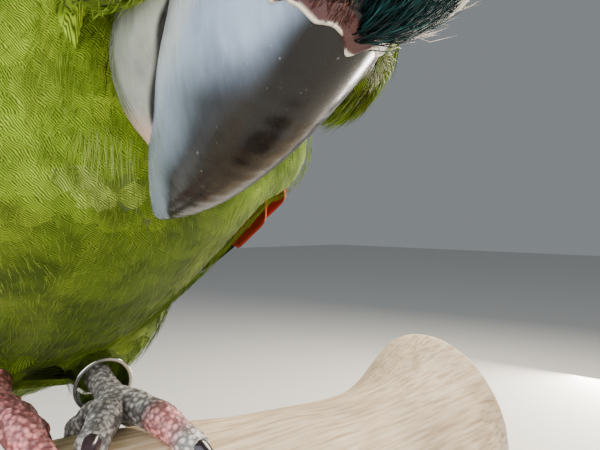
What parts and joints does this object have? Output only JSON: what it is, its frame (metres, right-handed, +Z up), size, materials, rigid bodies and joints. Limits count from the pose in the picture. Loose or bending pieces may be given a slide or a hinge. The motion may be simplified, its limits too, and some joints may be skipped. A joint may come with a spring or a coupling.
{
  "type": "chestnut-fronted macaw display model",
  "caption": "Life-size still model of a green macaw, head bowed over a cut length of branch, on a flat display base with rods.",
  "frame": {"origin": "point on the underside of the display base, straight below the bird's own origin over the branch and ahead of the base's centre", "axes": "+Z up; the bird faces -Y and its own left side is +X"},
  "size_m": [0.204, 0.3732, 0.2383],
  "materials": {
    "plumage": "soft matte feathers, grass green",
    "head_plumage": "soft matte feathers, green with a teal crown, bare whitish face",
    "wing_plumage": "smooth satin feathers, green coverts with blue flight feathers",
    "tail_plumage": "smooth satin feathers, brown-red and green tipped blue",
    "bill": "glossy grey-black horn",
    "cere_skin": "smooth cream skin",
    "eye": "polished",
    "foot_skin": "scaled grey skin with pink pads",
    "claw": "glossy black horn",
    "ring_steel": "polished",
    "branch_wood": "weathered, debarked",
    "base_wood": "dark satin lacquer",
    "rod_steel": "satin"
  },
  "bodies": {
    "root": {"neck": "plumage", "eye_left": "eye", "eye_right": "eye", "head": "head_plumage", "cere": "cere_skin", "upper_mandible": "bill", "lower_mandible": "bill", "thigh_left": "plumage", "leg_left": "foot_skin", "foot_left": "foot_skin", "claw_left_inner_front": "claw", "claw_left_outer_front": "claw", "claw_left_outer_back": "claw", "claw_left_inner_back": "claw", "thigh_right": "plumage", "leg_right": "foot_skin", "foot_right": "foot_skin", "claw_right_inner_front": "claw", "claw_right_outer_front": "claw", "claw_right_outer_back": "claw", "claw_right_inner_back": "claw", "leg_ring_left": "ring_steel", "torso": "plumage", "wing_left": "wing_plumage", "wing_right": "wing_plumage", "tail": "tail_plumage", "perch": "branch_wood", "stand_base": "base_wood", "stand_rod_1": "rod_steel", "stand_rod_2": "rod_steel"}
  },
  "joints": []
}
